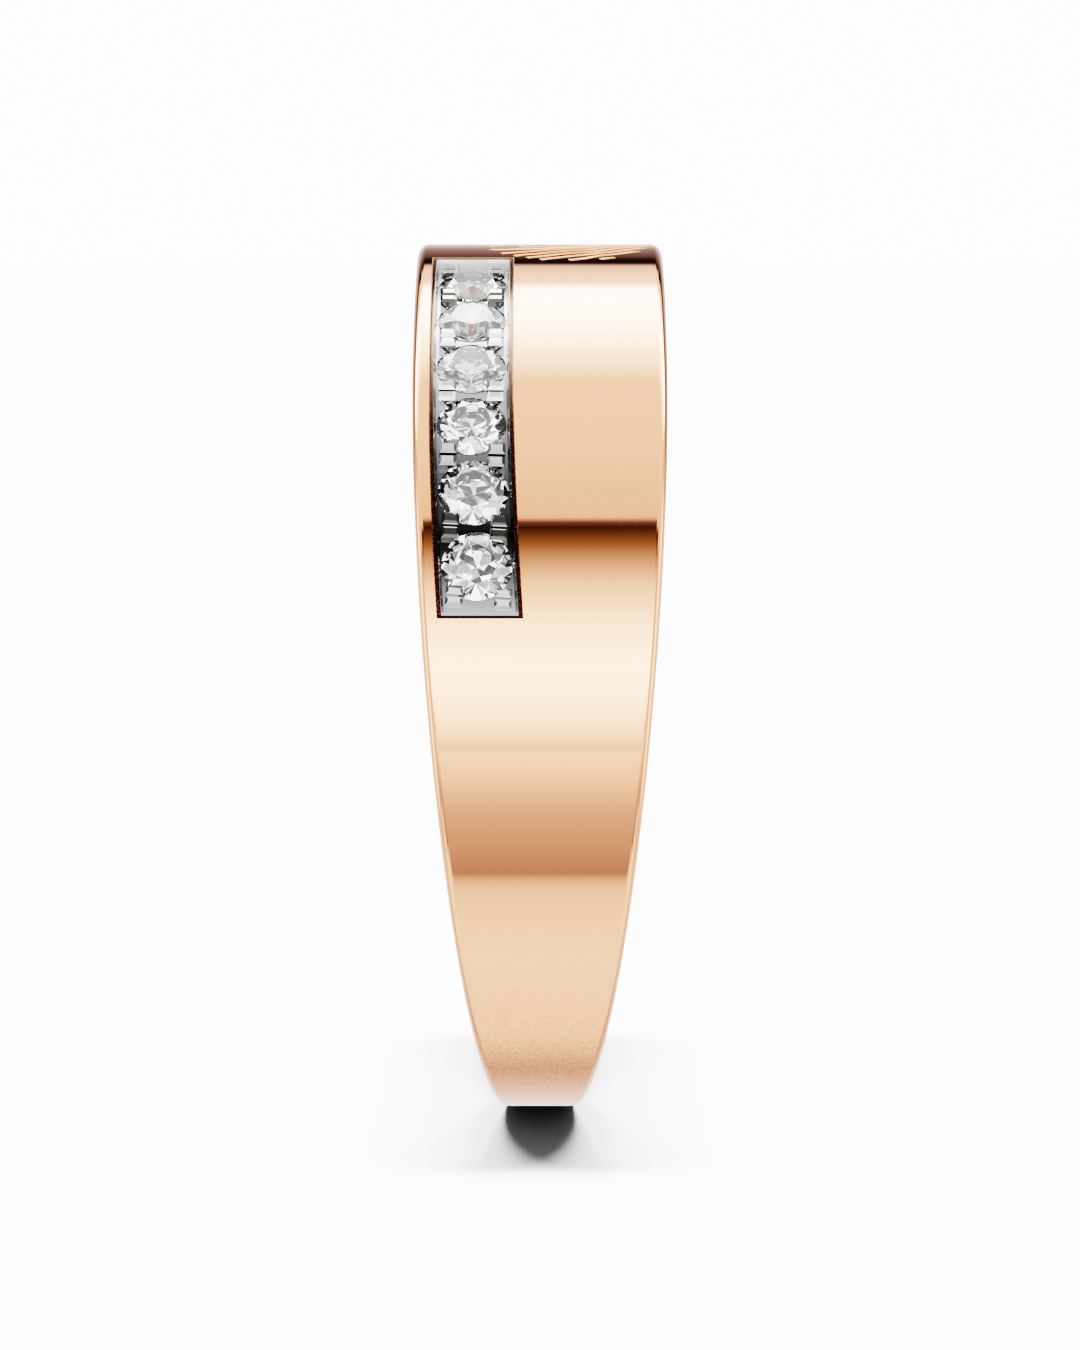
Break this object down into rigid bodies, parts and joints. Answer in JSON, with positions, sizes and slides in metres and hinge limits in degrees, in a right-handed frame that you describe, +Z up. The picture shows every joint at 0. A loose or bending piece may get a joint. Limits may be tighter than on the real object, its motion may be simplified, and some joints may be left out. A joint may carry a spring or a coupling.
{
  "type": "wedding band",
  "caption": "Tapered finger ring with a finger-mark engraving on top and a channel of claw-set round stones on each shoulder.",
  "frame": {"origin": "centre of the finger bore", "axes": "+X along the bore's axis, away from the edge that the settings follow; +Z up through the engraved top; -Y towards the front shoulder"},
  "size_m": [0.0064, 0.023, 0.023],
  "materials": {
    "rose_gold": "mirror polished 14 carat rose gold",
    "white_gold": "bright rhodium plated white gold",
    "diamond": "faceted and polished"
  },
  "bodies": {
    "root": {"band": "rose_gold", "setting_front": "white_gold", "setting_back": "white_gold", "stone_front_1": "diamond", "stone_front_2": "diamond", "stone_front_3": "diamond", "stone_front_4": "diamond", "stone_front_5": "diamond", "stone_front_6": "diamond", "stone_back_1": "diamond", "stone_back_2": "diamond", "stone_back_3": "diamond", "stone_back_4": "diamond", "stone_back_5": "diamond", "stone_back_6": "diamond"}
  },
  "joints": []
}
